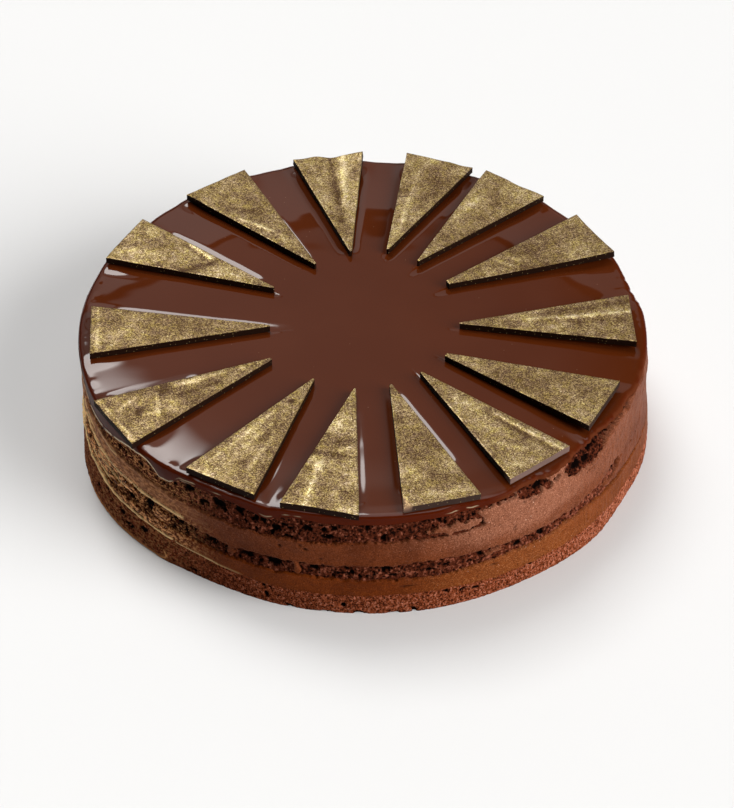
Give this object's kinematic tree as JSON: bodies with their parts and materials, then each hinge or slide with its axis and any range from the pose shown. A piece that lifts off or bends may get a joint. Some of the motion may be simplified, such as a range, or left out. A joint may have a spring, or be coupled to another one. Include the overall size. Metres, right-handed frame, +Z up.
{
  "type": "chocolate orange cake",
  "caption": "Round layer cake of dark sponge and chocolate mousse under a mirror glaze, topped with a sunburst of gold-dusted triangular chocolate plaques.",
  "frame": {"origin": "middle of the cake's flat underside", "axes": "+Z up along the cake's axis, +X to the right and +Y away from the viewer of the side that the picture shows"},
  "size_m": [0.2499, 0.25, 0.0574],
  "materials": {
    "sponge": "matte, crumbly dark chocolate sponge",
    "mousse": "satin, spread chocolate mousse",
    "glaze": "mirror-gloss dark chocolate glaze",
    "plaque": "dark chocolate dusted with fine gold lustre powder"
  },
  "bodies": {
    "root": {"sponge_bottom": "sponge", "mousse_lower": "mousse", "sponge_middle": "sponge", "mousse_upper": "mousse", "sponge_top": "sponge", "glaze": "glaze", "plaque_01": "plaque", "plaque_02": "plaque", "plaque_03": "plaque", "plaque_04": "plaque", "plaque_05": "plaque", "plaque_06": "plaque", "plaque_07": "plaque", "plaque_08": "plaque", "plaque_09": "plaque", "plaque_10": "plaque", "plaque_11": "plaque", "plaque_12": "plaque", "plaque_13": "plaque", "plaque_14": "plaque"}
  },
  "joints": []
}
